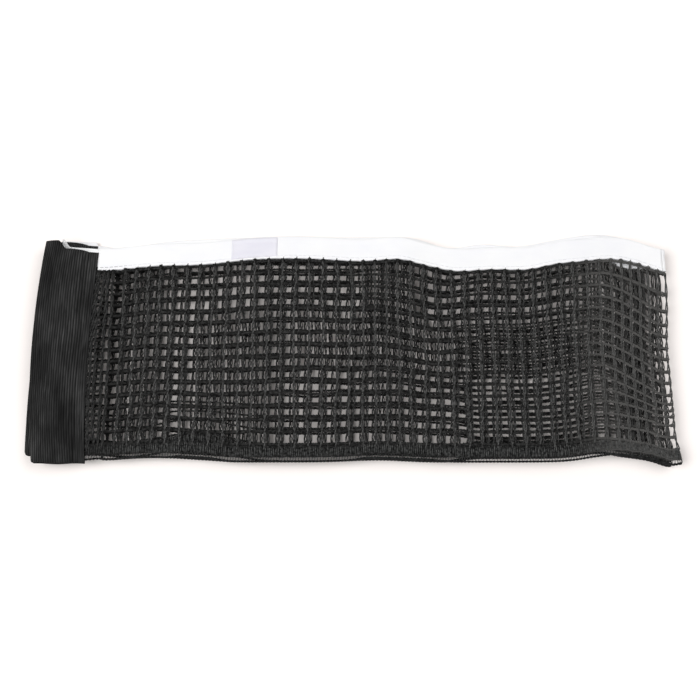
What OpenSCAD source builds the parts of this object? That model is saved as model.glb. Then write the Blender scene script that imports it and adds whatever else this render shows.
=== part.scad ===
// Table tennis net, folded in four and laid flat.
// The net runs along X, its hem is at -Y and its tape at +Y, and it lies on the plane Z = 0.
// Panel 1 is on top. Panels 1 to 4 are the four lengths between the three fold lines.

/* [Net] */
// Height of the net between the hem's edge and the tape's edge
net_height = 148.8; // [140:0.2:158]
// Length of the longest folded panel, from the front sleeve's seam to the right fold
panel_length = 371; // [330:1:400]
// Thickness of the knitted mesh
mesh_thickness = 1.2; // [0.9:0.1:1.4]
// Gaps along one panel
mesh_columns = 14; // [8:1:14]
// Gaps across the height of one panel
mesh_rows = 5; // [3:1:5]
// Width of the upright bands between two gaps
upright_width = 7; // [3:0.5:12]
// Width of the level cords between two gaps
crossing_width = 5; // [3:0.5:9]
// Straight pieces that a wavy edge is made of, on one panel
edge_steps = 24; // [16:1:30]

/* [Folds] */
// How far the lower right fold stops short of the upper one
fold_setback = 5; // [1:0.5:12]
// Space from the front sleeve's seam to the left fold's line
left_fold_inset = 11; // [6:0.5:30]
// Space that is kept between two panels' cloth
layer_clearance = 0.3; // [0.2:0.05:0.6]
// Space between a panel's end and its fold line
fold_clearance = 0.2; // [0.1:0.05:0.4]
// Facets round one fold
fold_facets = 6; // [4:1:10]

/* [Tape] */
// Width of the white tape on each side of the net
tape_width = 15.5; // [12:0.5:18]
// Thickness of the tape's cloth
tape_wall = 0.6; // [0.4:0.05:0.7]
// Diameter of the tension cord inside the tape
tension_cord_diameter = 1; // [0.7:0.1:1.1]
// Space round the tension cord
cord_clearance = 0.1; // [0.05:0.05:0.2]
// Width of the flattened tape end inside a sleeve
tape_end_width = 12; // [8:0.5:16]
// How far the tape end shows past the sleeve's mouth
tape_end_rim = 2.3; // [1:0.1:4]
// Length of the tape end inside a sleeve
tape_end_length = 24.5; // [10:0.5:26]
// Length over which the tape end is sewn between the tape's two walls
tape_end_lap = 3; // [1:0.5:6]

/* [Hem] */
// Height of the dense hem band
hem_height = 8.5; // [6:0.5:12]
// Thickness of the hem's cloth on each side of the mesh
hem_wall = 0.6; // [0.4:0.05:0.7]
// Diameter of the cord along the hem's edge
edge_cord_diameter = 1.6; // [1.2:0.1:2]

/* [Sleeves] */
// Height of a sleeve, lying empty
sleeve_height = 7.8; // [7.4:0.1:9]
// Thickness of the sleeve's ribbed cloth
sleeve_wall = 0.8; // [0.6:0.1:1]
// Width of the seam where a sleeve holds the mesh
seam_width = 6; // [4:0.5:9]
// How far the mesh reaches into the seam
seam_lap = 5; // [3:0.5:5.5]
// Width of the front sleeve at its foot
front_sleeve_width = 33.4; // [30:0.2:40]
// How far the front sleeve's outer side bows out
front_sleeve_bow = 4.6; // [0:0.2:8]
// How far the front sleeve's foot hangs below the hem line
front_sleeve_drop = 2.2; // [0:0.1:4]
// How far the front sleeve's mouth lies below the tape's line at its seam
front_mouth_drop = 11.8; // [4:0.2:24]
// Rise of the front sleeve's mouth from its seam to its outer corner
front_mouth_slope = 2.4; // [0:0.2:6]
// Height of the raised outer corner of the front sleeve's mouth
front_corner_rise = 5.6; // [0:0.2:8]
// Width of the back sleeve at its foot
back_sleeve_width = 36.6; // [30:0.2:40]
// Width that the back sleeve loses from its foot to its mouth
back_sleeve_taper = 6; // [0:0.2:8]
// How far the back sleeve's seam lies outside the front sleeve's seam
back_seam_offset = 3; // [1:0.5:6]
// How far the back sleeve's foot ends above the hem line
back_sleeve_lift = 3.6; // [0:0.1:8]
// How far the back sleeve's mouth lies below the tape's line at its seam
back_mouth_drop = 6.8; // [4:0.2:20]
// Rise of the back sleeve's mouth from its seam to its outer corner
back_mouth_slope = 4.6; // [0:0.2:6]

/* [Label] */
// Width of the blank label
label_width = 30.2; // [20:0.2:50]
// Height of the blank label
label_height = 13.4; // [8:0.2:14]
// Thickness of the blank label
label_thickness = 0.3; // [0.2:0.05:0.5]
// Distance from the front sleeve's seam to the label
label_inset = 87.6; // [40:0.2:200]
// Distance from the tape's edge to the label
label_margin = 0.9; // [0.5:0.1:1.5]

/* [Hidden] */

PANELS = 4;
CORD_SIDES = 8;
SLEEVE_STATIONS = 9;
SLEEVE_FACETS = 10;
// Shape of the sleeve's crown, from 1, a sine arch, to 0, a flat box
CROWN_POWER = 0.4;
FLOOR_POWER = 0.2;
// Part of the lobe's width over which its floor curves up at the outer side
FLOOR_CURVE = 0.2;
// Part of the sleeve's width over which its raised corner climbs
CORNER_START = 0.56;
CORNER_END = 0.74;
CUT = 1;

MESH_COLOUR = [0.16, 0.17, 0.16];
HEM_COLOUR = [0.13, 0.13, 0.14];
TAPE_COLOUR = [0.95, 0.95, 0.96];
CORD_COLOUR = [0.88, 0.88, 0.86];
SLEEVE_COLOUR = [0.15, 0.15, 0.16];
LABEL_COLOUR = [0.86, 0.84, 0.88];

// Waves of the soft edges: [distance from the front seam, rise, spread]
tape_waves = [[0, -8.5, 40], [232, -7, 18], [274, -6, 24], [333, 3, 18], [375, -9, 19]];
hem_waves = [[-8, -1.2, 15], [43, 2.3, 30], [180, 1.2, 25], [328, 4, 20], [367, -3.5, 9]];
// The same for what each panel adds to these, where it lies out of line with the top one
tape_shifts = [[], [], [], [[-4, 5, 17]]];
hem_shifts = [[], [[72, 7, 26]], [], [[-4, 4.5, 22]]];

// Heights of the panels' middles
flange_half = mesh_thickness / 2 + sleeve_wall;
layer_pitch = (sleeve_height + layer_clearance) / (PANELS - 1);
function panel_z(k) = flange_half + (PANELS - k) * layer_pitch;
tape_half = mesh_thickness / 2 + tape_wall;
hem_half = mesh_thickness / 2 + hem_wall;

// Places along X, measured from the front sleeve's seam
seam_x = [0, 0, 0, -back_seam_offset];
upper_right_x = panel_length;
lower_right_x = panel_length - fold_setback;
left_fold_x = left_fold_inset;
panel_start = [seam_x[0], left_fold_x + fold_clearance, left_fold_x + fold_clearance, seam_x[3]];
panel_end = [upper_right_x - fold_clearance, upper_right_x - fold_clearance,
             lower_right_x - fold_clearance, lower_right_x - fold_clearance];

// The wavy lines of the net
function bump(x, w) = w[1] * exp(-pow((x - w[0]) / w[2], 2));
function waves(x, list, i = 0) = i >= len(list) ? 0 : bump(x, list[i]) + waves(x, list, i + 1);
function tape_line(x, k) = net_height / 2 + waves(x, tape_waves) + waves(x, tape_shifts[k - 1]);
function hem_line(x, k) = -net_height / 2 + waves(x, hem_waves) + waves(x, hem_shifts[k - 1]);
function stations(a, b, n) = [for (i = [0:n]) a + (b - a) * i / n];

// Distances from these lines
hem_base = edge_cord_diameter + cord_clearance;
mesh_base = hem_base + hem_wall;
mesh_crown = tape_wall + tension_cord_diameter + 2 * cord_clearance;
cord_depth = tape_wall + cord_clearance + tension_cord_diameter / 2;

// The middle of the whole object's box, which is put on the origin
back_foot_x = seam_x[3] - back_sleeve_width;
right_reach = upper_right_x + layer_pitch / 2 + max(tape_half, hem_half);
middle_x = (back_foot_x + right_reach) / 2;
low_y = min(min([for (k = [1:PANELS], x = panel_stations(k)) hem_line(x, k)]),
            -net_height / 2 - front_sleeve_drop);
high_y = max([for (k = [1:PANELS], x = panel_stations(k)) tape_line(x, k)]);
middle_y = (low_y + high_y) / 2;

function panel_stations(k) = stations(panel_start[k - 1], panel_end[k - 1], edge_steps);
// The tape's line as it is built, straight between two stations
function tape_edge(x, k) = lookup(x, [for (v = panel_stations(k)) [v, tape_line(v, k)]]);

module in_place() {
    translate([-middle_x, -middle_y, 0]) children();
}

// A flat strip of one panel, between two distances from the tape line and the hem line
module tape_strip(xs, k, outer, inner) {
    polygon(concat([for (x = xs) [x, tape_line(x, k) - outer]],
                   [for (i = [len(xs) - 1:-1:0]) [xs[i], tape_line(xs[i], k) - inner]]));
}

module hem_strip(xs, k, outer, inner) {
    polygon(concat([for (x = xs) [x, hem_line(x, k) + outer]],
                   [for (i = [len(xs) - 1:-1:0]) [xs[i], hem_line(xs[i], k) + inner]]));
}

module slab(z, low, high) {
    translate([0, 0, z + low]) linear_extrude(high - low) children();
}

// One panel of mesh
gap_pitch_x = (upper_right_x - left_fold_x) / (mesh_columns + 0.5);

function gap_low(x, k) = hem_line(x, k) + hem_base + hem_height;
function gap_high(x, k) = tape_line(x, k) - tape_width;
function between(x, k, share) = gap_low(x, k) + share * (gap_high(x, k) - gap_low(x, k));
function row_share(row) = row / mesh_rows;

module gap(x, k, row) {
    half = (gap_pitch_x - upright_width) / 2;
    low = row_share(row);
    high = row_share(row + 1);
    rim = crossing_width / 2;
    polygon([[x - half, between(x - half, k, low) + rim],
             [x + half, between(x + half, k, low) + rim],
             [x + half, between(x + half, k, high) - rim],
             [x - half, between(x - half, k, high) - rim]]);
}

module mesh_panel(k) {
    xs = panel_stations(k);
    sewn = k == 1 || k == PANELS;
    first = xs[0] + (sewn ? tape_end_lap : 0);
    high_xs = concat([first], [for (x = xs) if (x > first) x]);
    low_tongue = [for (x = sewn ? [xs[0] - seam_lap] : []) [x, hem_line(xs[0], k) + mesh_base]];
    high_tongue = [for (x = sewn ? [first, xs[0], xs[0] - seam_lap] : [])
        [x, tape_edge(max(x, xs[0]), k) - tape_width]];
    color(MESH_COLOUR) in_place() slab(panel_z(k), -mesh_thickness / 2, mesh_thickness / 2)
        difference() {
            polygon(concat(low_tongue,
                           [for (x = xs) [x, hem_line(x, k) + mesh_base]],
                           [for (i = [len(high_xs) - 1:-1:0])
                               [high_xs[i], tape_edge(high_xs[i], k) - mesh_crown]],
                           high_tongue));
            for (column = [0:mesh_columns - 1], row = [0:mesh_rows - 1])
                gap(left_fold_x + (column + 0.75) * gap_pitch_x - fold_setback / 2, k, row);
        }
}

// A half ring of cloth round a fold line: turn is 1 for a fold at the right and -1 at the left
module half_ring(inner, outer, low, high, x, z, turn) {
    ring = [for (i = [0:fold_facets]) -90 + 180 * i / fold_facets];
    translate([x, low, z]) rotate([90, 0, 0]) mirror([0, 0, 1]) linear_extrude(high - low)
        polygon(concat([for (a = ring) outer * [turn * cos(a), sin(a)]],
                       [for (i = [fold_facets:-1:0]) inner * [turn * cos(ring[i]), sin(ring[i])]]));
}

// Each fold is [distance along X, number of the panel above it, turn]
upper_right = [upper_right_x, 1, 1];
left = [left_fold_x, 2, -1];
lower_right = [lower_right_x, 3, 1];

function fold_z(fold) = (panel_z(fold[1]) + panel_z(fold[1] + 1)) / 2;
function fold_reach(fold, half) = layer_pitch / 2 + half;
function fold_hollow(fold, half) = layer_pitch / 2 - half;

module fold_ring(fold, half, low, high) {
    half_ring(fold_hollow(fold, half), fold_reach(fold, half), low, high, fold[0], fold_z(fold), fold[2]);
}

module mesh_fold(fold) {
    x = fold[0];
    k = fold[1];
    color(MESH_COLOUR) in_place() difference() {
        fold_ring(fold, mesh_thickness / 2, hem_line(x, k) + mesh_base, tape_line(x, k) - mesh_crown);
        for (row = [0:mesh_rows - 1]) {
            low = between(x, k, row_share(row)) + crossing_width / 2;
            high = between(x, k, row_share(row + 1)) - crossing_width / 2;
            translate([x + fold[2] * layer_pitch / 2, (low + high) / 2, fold_z(fold)])
                cube([layer_pitch, high - low, mesh_thickness], center = true);
        }
    }
}

// Cloth folded over the edge of the mesh: two walls and the rim that joins them
module tape_panel(k) {
    xs = panel_stations(k);
    color(TAPE_COLOUR) in_place() union() {
        slab(panel_z(k), -tape_half, tape_half) tape_strip(xs, k, tape_wall, 0);
        slab(panel_z(k), mesh_thickness / 2, tape_half) tape_strip(xs, k, tape_width, tape_wall);
        slab(panel_z(k), -tape_half, -mesh_thickness / 2) tape_strip(xs, k, tape_width, tape_wall);
        if (k == 1) slab(panel_z(k), -mesh_thickness / 2, mesh_thickness / 2) tape_end(front);
        if (k == PANELS) slab(panel_z(k), -mesh_thickness / 2, mesh_thickness / 2) tape_end(back);
    }
}

module tape_fold(fold) {
    x = fold[0];
    top = tape_line(x, fold[1]);
    color(TAPE_COLOUR) in_place() union() {
        fold_ring(fold, tape_half, top - tape_wall, top);
        difference() {
            fold_ring(fold, tape_half, top - tape_width, top - tape_wall);
            translate([0, -CUT, 0])
                fold_ring(fold, mesh_thickness / 2, top - tape_width, top - tape_wall + CUT);
        }
    }
}

module hem_panel(k) {
    xs = panel_stations(k);
    color(HEM_COLOUR) in_place() union() {
        slab(panel_z(k), -hem_half, hem_half) hem_strip(xs, k, hem_base, mesh_base);
        slab(panel_z(k), mesh_thickness / 2, hem_half)
            hem_strip(xs, k, mesh_base, hem_base + hem_height);
        slab(panel_z(k), -hem_half, -mesh_thickness / 2)
            hem_strip(xs, k, mesh_base, hem_base + hem_height);
    }
}

module hem_fold(fold) {
    x = fold[0];
    low = hem_line(x, fold[1]) + hem_base;
    color(HEM_COLOUR) in_place() union() {
        fold_ring(fold, hem_half, low, low + hem_wall);
        difference() {
            fold_ring(fold, hem_half, low + hem_wall, low + hem_height);
            translate([0, CUT, 0])
                fold_ring(fold, mesh_thickness / 2, low + hem_wall - CUT, low + hem_height);
        }
    }
}

// A cord with flat sides along a list of points. across is the direction square to its run and to Y.
module tube(points, across, diameter) {
    r = diameter / 2 / cos(180 / CORD_SIDES);
    rings = [for (i = [0:len(points) - 1], j = [0:CORD_SIDES - 1])
        let (a = 360 * (j + 0.5) / CORD_SIDES)
        points[i] + r * cos(a) * across[i] + [0, r * sin(a), 0]];
    last = (len(points) - 1) * CORD_SIDES;
    polyhedron(rings, concat(
        [[for (j = [0:CORD_SIDES - 1]) j]],
        [for (i = [0:len(points) - 2], j = [0:CORD_SIDES - 1])
            let (a = i * CORD_SIDES + j, b = i * CORD_SIDES + (j + 1) % CORD_SIDES)
            [a, a + CORD_SIDES, b + CORD_SIDES, b]],
        [[for (j = [CORD_SIDES - 1:-1:0]) last + j]]), convexity = 4);
}

module cord_panel(k, line, diameter) {
    xs = panel_stations(k);
    tube([for (i = [0:len(xs) - 1]) [xs[i], line[i], panel_z(k)]], [for (x = xs) [0, 0, 1]], diameter);
}

module cord_fold(fold, y, diameter) {
    angles = [for (i = [0:fold_facets]) 90 - 180 * i / fold_facets];
    outward = [for (a = angles) [fold[2] * cos(a), 0, sin(a)]];
    middle = [fold[0], y, fold_z(fold)];
    mirror_side = fold[2] > 0 ? 1 : -1;
    tube([for (o = outward) middle + o * layer_pitch / 2], [for (o = outward) o * mirror_side], diameter);
}

module tension_cord(k) {
    color(CORD_COLOUR) in_place()
        cord_panel(k, [for (x = panel_stations(k)) tape_line(x, k) - cord_depth], tension_cord_diameter);
}

module tension_cord_fold(fold) {
    color(CORD_COLOUR) in_place()
        cord_fold(fold, tape_line(fold[0], fold[1]) - cord_depth, tension_cord_diameter);
}

module edge_cord(k) {
    color(HEM_COLOUR) in_place()
        cord_panel(k, [for (x = panel_stations(k)) hem_line(x, k) + edge_cord_diameter / 2],
                   edge_cord_diameter);
}

module edge_cord_fold(fold) {
    color(HEM_COLOUR) in_place()
        cord_fold(fold, hem_line(fold[0], fold[1]) + edge_cord_diameter / 2, edge_cord_diameter);
}

// Sleeves. A sleeve is [seam, panel, width, taper, bow, foot, mouth, mouth slope, corner rise].
front = [seam_x[0], 1, front_sleeve_width, 0, front_sleeve_bow,
         -net_height / 2 - front_sleeve_drop, net_height / 2 - front_mouth_drop,
         front_mouth_slope, front_corner_rise];
back = [seam_x[3], PANELS, back_sleeve_width, back_sleeve_taper, 0,
        -net_height / 2 + back_sleeve_lift, net_height / 2 - back_mouth_drop,
        back_mouth_slope, 0];

function sleeve_width(s, t) = s[2] - s[3] * t + s[4] * 4 * t * (1 - t);
function smooth(v) = let (c = max(0, min(1, v))) c * c * (3 - 2 * c);
function mouth_y(s, share) =
    s[6] + s[7] * share + s[8] * smooth((share - CORNER_START) / (CORNER_END - CORNER_START));
function crown(share, power) = pow(sin(180 * share), power);
function sleeve_up() = sleeve_height - flange_half;

// One ring of a sleeve at the share t of its length. inset is 0 outside and the wall inside.
function sleeve_ring(s, t, inset) =
    let (
        width = sleeve_width(s, t),
        lobe = width - seam_width,
        start = 1.5 * inset,
        span = lobe - 2 * start,
        shares = [for (i = [0:SLEEVE_FACETS]) (1 - cos(180 * i / SLEEVE_FACETS)) / 2],
        up = sleeve_up() - inset,
        down = flange_half - inset,
        seam_half = inset > 0 ? 0 : flange_half,
        z = panel_z(s[1]),
        top = [for (c = shares) [start + span * c, max(c > 0.5 ? seam_half : 0, up * crown(c, CROWN_POWER))]],
        floor_line = [for (i = [SLEEVE_FACETS - 1:-1:1])
            [start + span * shares[i],
             -down * (shares[i] > FLOOR_CURVE ? 1 : crown(shares[i], FLOOR_POWER))]],
        seam = inset > 0 ? [] : [[width, seam_half], [width, -seam_half]],
        outline = concat(top, seam, inset > 0 ? [] : [[lobe, -seam_half]], floor_line),
        low = s[5]
    )
    [for (p = outline)
        let (share = 1 - p[0] / width)
        [s[0] - width + p[0], low + t * (mouth_y(s, share) - low), z + p[1]]];

module loft(rings) {
    n = len(rings[0]);
    last = len(rings) - 1;
    polyhedron([for (r = rings, p = r) p], concat(
        [[for (j = [0:n - 1]) j]],
        [for (i = [0:last - 1], j = [0:n - 1])
            let (a = i * n + j, b = i * n + (j + 1) % n)
            each [[a, a + n, b + n], [a, b + n, b]]],
        [[for (j = [n - 1:-1:0]) last * n + j]]), convexity = 6);
}

module sleeve(s) {
    ends = CUT / (s[6] - s[5]);
    color(SLEEVE_COLOUR) in_place() difference() {
        loft([for (i = [0:SLEEVE_STATIONS]) sleeve_ring(s, i / SLEEVE_STATIONS, 0)]);
        loft([for (i = [0:SLEEVE_STATIONS])
            sleeve_ring(s, -ends + (1 + 2 * ends) * i / SLEEVE_STATIONS, sleeve_wall)]);
        translate([s[0] - seam_width - 3 * sleeve_wall, s[5] - CUT, panel_z(s[1]) - mesh_thickness / 2])
            cube([seam_width + 3 * sleeve_wall + CUT, s[6] - s[5] + sleeve_height + CUT, mesh_thickness]);
    }
}

// The tape's flattened end, which shows as a rim past the sleeve's mouth, and its lap in the tape
module tape_end(s) {
    shares = [for (i = [1:8]) i / 8 * tape_end_length / s[2]];
    low = mouth_y(s, 0) + tape_end_rim - tape_end_width;
    lap = [s[0], s[0] + tape_end_lap];
    neck = min(mouth_y(s, 0) + tape_end_rim, tape_line(s[0], s[1]) - mesh_crown - cord_clearance);
    polygon(concat([[s[0], neck]],
                   [for (c = shares) [s[0] - c * s[2], mouth_y(s, c) + tape_end_rim]],
                   [[s[0] - tape_end_length, low], [s[0], low]]));
    polygon(concat([for (x = lap) [x, tape_edge(x, s[1]) - tape_width]],
                   [for (i = [1, 0]) [lap[i], tape_edge(lap[i], s[1]) - mesh_crown]]));
}

module label() {
    xs = stations(label_inset, label_inset + label_width, 4);
    color(LABEL_COLOUR) in_place() slab(panel_z(1), tape_half, tape_half + label_thickness)
        tape_strip(xs, 1, label_margin + label_height, label_margin);
}

mesh_panel(1);  // mesh_panel_1
mesh_panel(2);  // mesh_panel_2
mesh_panel(3);  // mesh_panel_3
mesh_panel(4);  // mesh_panel_4
mesh_fold(upper_right);  // mesh_fold_upper_right
mesh_fold(left);  // mesh_fold_left
mesh_fold(lower_right);  // mesh_fold_lower_right
tape_panel(1);  // tape_panel_1
tape_panel(2);  // tape_panel_2
tape_panel(3);  // tape_panel_3
tape_panel(4);  // tape_panel_4
tape_fold(upper_right);  // tape_fold_upper_right
tape_fold(left);  // tape_fold_left
tape_fold(lower_right);  // tape_fold_lower_right
tension_cord(1);  // tension_cord_1
tension_cord(2);  // tension_cord_2
tension_cord(3);  // tension_cord_3
tension_cord(4);  // tension_cord_4
tension_cord_fold(upper_right);  // tension_cord_fold_upper_right
tension_cord_fold(left);  // tension_cord_fold_left
tension_cord_fold(lower_right);  // tension_cord_fold_lower_right
hem_panel(1);  // hem_panel_1
hem_panel(2);  // hem_panel_2
hem_panel(3);  // hem_panel_3
hem_panel(4);  // hem_panel_4
hem_fold(upper_right);  // hem_fold_upper_right
hem_fold(left);  // hem_fold_left
hem_fold(lower_right);  // hem_fold_lower_right
edge_cord(1);  // edge_cord_1
edge_cord(2);  // edge_cord_2
edge_cord(3);  // edge_cord_3
edge_cord(4);  // edge_cord_4
edge_cord_fold(upper_right);  // edge_cord_fold_upper_right
edge_cord_fold(left);  // edge_cord_fold_left
edge_cord_fold(lower_right);  // edge_cord_fold_lower_right
sleeve(front);  // front_sleeve
sleeve(back);  // back_sleeve
label();
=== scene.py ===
"""Looks of a table tennis net that lies folded in four: mesh, tape, hem, cords and two ribbed sleeves.

Lengths are in millimetres and are scaled to metres where a mesh is made. x runs from the front sleeve's
seam along the net, y from the hem to the tape, and z up from the table. Panel 1 is on top.
"""
import math

import bpy
import numpy as np
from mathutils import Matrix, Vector

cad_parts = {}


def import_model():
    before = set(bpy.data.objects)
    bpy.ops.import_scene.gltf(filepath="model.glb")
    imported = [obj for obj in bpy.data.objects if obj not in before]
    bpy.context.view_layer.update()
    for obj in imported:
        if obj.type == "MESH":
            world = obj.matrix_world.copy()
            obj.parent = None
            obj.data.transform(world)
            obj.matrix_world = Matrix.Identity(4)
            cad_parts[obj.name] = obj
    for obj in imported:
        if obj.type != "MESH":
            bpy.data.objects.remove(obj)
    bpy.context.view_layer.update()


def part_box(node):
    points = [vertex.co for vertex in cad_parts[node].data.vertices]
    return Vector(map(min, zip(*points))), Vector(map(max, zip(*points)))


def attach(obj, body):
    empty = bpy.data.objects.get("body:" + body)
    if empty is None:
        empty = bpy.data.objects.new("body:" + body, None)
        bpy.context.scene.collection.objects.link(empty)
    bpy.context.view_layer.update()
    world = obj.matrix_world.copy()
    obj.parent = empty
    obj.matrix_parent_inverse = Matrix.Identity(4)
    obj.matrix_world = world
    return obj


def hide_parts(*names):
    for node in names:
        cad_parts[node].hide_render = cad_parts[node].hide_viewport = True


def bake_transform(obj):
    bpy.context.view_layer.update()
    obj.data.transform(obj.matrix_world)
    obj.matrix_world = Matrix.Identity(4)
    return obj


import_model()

MM = 0.001
PANELS = (1, 2, 3, 4)
BODY = {1: "top_panel", 2: "second_panel", 3: "third_panel", 4: "lowest_panel"}

# The net as the solids have it
NET_HEIGHT = 148.8
LAYER_PITCH = 2.7
LOWEST_Z = 1.4
UPPER_FOLD_X = 371.0
LOWER_FOLD_X = 366.0
LEFT_FOLD_X = 11.0
BACK_SEAM_X = -3.0
FOLD_CLEARANCE = 0.2
SEAM_LAP = 4.5
TAPE_WIDTH = 15.5
TAPE_HALF = 1.15
TAPE_CLOTH = 0.45
TENSION_CORD_RADIUS = 0.5
TENSION_CORD_DEPTH = 1.2
HEM_BASE = 1.7
HEM_HEIGHT = 8.5
EDGE_CORD_RADIUS = 0.8
FRONT_SLEEVE_DROP = 2.2

# Waves of the soft edges: (distance from the front seam, rise, spread). The shifts and slips are what
# a layer has besides, in the solids or only in its tape's cloth.
TAPE_WAVES = ((0, -8.5, 40), (232, -7, 18), (274, -6, 24), (333, 3, 18), (375, -9, 19))
HEM_WAVES = ((-8, -1.2, 15), (43, 2.3, 30), (180, 1.2, 25), (328, 4, 20), (367, -3.5, 9))
TAPE_SHIFTS = {1: (), 2: (), 3: (), 4: ((-4, 5, 17),)}
HEM_SHIFTS = {1: (), 2: ((72, 7, 26),), 3: (), 4: ((-4, 4.5, 22),)}
TAPE_SLIPS = {1: ((66, -4.0, 32), (172, -1.8, 22), (212, -2.0, 12), (251, -3.2, 17), (284, -1.8, 16),
                  (325, -3.6, 30)), 2: ((70, -0.9, 30), (150, 0.3, 50), (290, -0.5, 30), (346, -6.5, 13)),
              3: ((120, -0.5, 50), (300, 0.3, 30)), 4: ((250, 0.3, 60),)}

# The knit. Beside the sleeves it is gathered, so it has more columns there
KNIT_SPAN = 123.0
KNIT_FOOT = 10.0
ROWS = 15
ROW_RADIUS = 0.42
ROW_BRAID = 6.4
ROW_SPREAD = 0.58
STRANDS = 2 * np.pi * np.arange(3) / 3
COLUMN_RADIUS = 0.43
COLUMN_SPREAD = 0.74
COLUMN_PITCH = 8.9
CLOSER_AT_SLEEVE, CLOSER_AT_RIDGE, CLOSER_AT_FOLD = 1.2, 1.5, 3.0
EDGE_GAP = 4.0
SEAM_COLUMNS = {1: (0.4, 1.8, 4.2, 7.4), 4: (2.9, 5.6, 9.2)}
TURNED_BACK = 7.4
SEAM_BOW = 2.6
KNOT_SIZE = (1.15, 1.05, 0.8)
TAPE_KNOT_SIZE = (1.5, 1.0, 0.6)
FOLD_KNOT_SIZE = (0.8, 0.85, 0.9)

# The sleeves' ribs
RIB_PITCH = 1.38
RIB_HEIGHT = 0.3
RIB_WANDER = 0.45
RIB_WANDER_LENGTH = 17.0

SEAM = Vector((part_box("edge_cord_1")[0][0] / MM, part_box("front_sleeve")[0][1] / MM, 0))
ORIGIN = np.array([SEAM.x, SEAM.y + NET_HEIGHT / 2 + FRONT_SLEEVE_DROP, 0])


# ---------------------------------------------------------------- shapes of the net

def bumps(x, waves):
    return sum((rise * np.exp(-((x - at) / spread) ** 2) for at, rise, spread in waves), 0 * x)


def tape_line(x, k):
    return NET_HEIGHT / 2 + bumps(x, TAPE_WAVES) + bumps(x, TAPE_SHIFTS[k])


def hem_line(x, k):
    return -NET_HEIGHT / 2 + bumps(x, HEM_WAVES) + bumps(x, HEM_SHIFTS[k])


def knit_low(x, k):
    return hem_line(x, k) + HEM_BASE + HEM_HEIGHT - 0.4


def tape_rows(x, k):
    """Where the tape's top edge lies: the upper panel's has slipped down under the others'."""
    return tape_line(x, k) + bumps(x, TAPE_SLIPS[k])


def knit_high(x, k):
    return tape_rows(x, k) - TAPE_WIDTH - 1.3


def smooth(t):
    t = np.clip(t, 0, 1)
    return t * t * (3 - 2 * t)


def window(x, start, end, soft):
    """1 between start and end, 0 outside, with soft flanks."""
    return smooth((x - start) / soft + 0.5) * smooth((end - x) / soft + 0.5)


def panel_z(k):
    return LOWEST_Z + (len(PANELS) - k) * LAYER_PITCH


def panel_span(k):
    start = {1: 0.0, 2: LEFT_FOLD_X, 3: LEFT_FOLD_X, 4: BACK_SEAM_X}[k]
    end = {1: UPPER_FOLD_X, 2: UPPER_FOLD_X, 3: LOWER_FOLD_X, 4: LOWER_FOLD_X}[k]
    return start + (FOLD_CLEARANCE if k in (2, 3) else 0), end - FOLD_CLEARANCE


def lift(x, y):
    """How far the soft pile stands up: a ridge and two low swells, but nothing at the folds."""
    free = window(x, 30, 345, 30)
    ridge = 2.0 * np.exp(-((x - 196 - 0.08 * y) / 15) ** 2) * (0.7 + 0.3 * smooth(y / 60))
    swell = 1.0 * np.exp(-((x - 110 + 0.2 * y) / 34) ** 2) + 1.1 * np.exp(-((x - 303) / 30) ** 2)
    return free * (ridge + swell)


def xyz(x, y, z):
    return np.stack(np.broadcast_arrays(x, y, z), -1)


def place(points):
    """Millimetres of the net to metres of the row frame. The right end lies a little askew."""
    points = np.asarray(points, float)
    x, y = points[..., 0], points[..., 1]
    askew = 2.8 * smooth((x - 250) / 110) * smooth((44 - y) / 50) * smooth((y + 77) / 20)
    moved = np.stack([x - askew, y, points[..., 2]], -1)
    return (moved + ORIGIN) * MM


# ---------------------------------------------------------------- mesh making

class Parts:
    """Vertices and quads of one piece, gathered from several shapes."""

    def __init__(self):
        self.points, self.quads, self.materials, self.count = [], [], [], 0

    def add(self, points, quads, material=0):
        points = np.asarray(points, float).reshape(-1, 3)
        quads = np.asarray(quads, int).reshape(-1, 4)
        self.points.append(points)
        self.quads.append(quads + self.count)
        self.materials.append(np.full(len(quads), material))
        self.count += len(points)

    def piece(self, name, materials, body=None, solid=None, slot=None):
        points = place(np.concatenate(self.points))
        quads = np.concatenate(self.quads)
        mesh = bpy.data.meshes.new(name)
        mesh.vertices.add(len(points))
        mesh.vertices.foreach_set("co", points.astype(np.float32).ravel())
        mesh.loops.add(quads.size)
        mesh.loops.foreach_set("vertex_index", quads.astype(np.int32).ravel())
        mesh.polygons.add(len(quads))
        mesh.polygons.foreach_set("loop_start", np.arange(0, quads.size, 4, dtype=np.int32))
        mesh.polygons.foreach_set("material_index", np.concatenate(self.materials).astype(np.int32))
        mesh.polygons.foreach_set("use_smooth", np.ones(len(quads), bool))
        for material in materials:
            mesh.materials.append(material)
        mesh.update(calc_edges=True)
        mesh.validate()
        piece = bpy.data.objects.new(name, mesh)
        bpy.context.scene.collection.objects.link(piece)
        if body:
            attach(piece, body)
        if solid:
            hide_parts(solid)
        return piece


def grid_quads(rows, columns, wrap=False):
    """Quads of a grid of points that runs row by row."""
    i = np.arange(rows - 1)[:, None]
    j = np.arange(columns if wrap else columns - 1)[None, :]
    a = i * columns + j
    b = i * columns + (j + 1) % columns
    return np.stack([a, b, b + columns, a + columns], -1).reshape(-1, 4)


def cap_quads(columns, first, flip):
    """Quads that close a ring of an even number of points."""
    half = columns // 2
    j = np.arange(half - 1)
    quads = np.stack([j, j + 1, columns - 2 - j, columns - 1 - j], -1) + first
    return quads[:, ::-1] if flip else quads


def closed_quads(rows, columns, shapes=1):
    """Quads of closed tubes, each of rows rings of columns points, with both of their ends."""
    one = np.concatenate([grid_quads(rows, columns, wrap=True)[:, ::-1], cap_quads(columns, 0, False),
                          cap_quads(columns, (rows - 1) * columns, True)])
    return one[None] + (np.arange(shapes) * rows * columns)[:, None, None]


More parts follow.
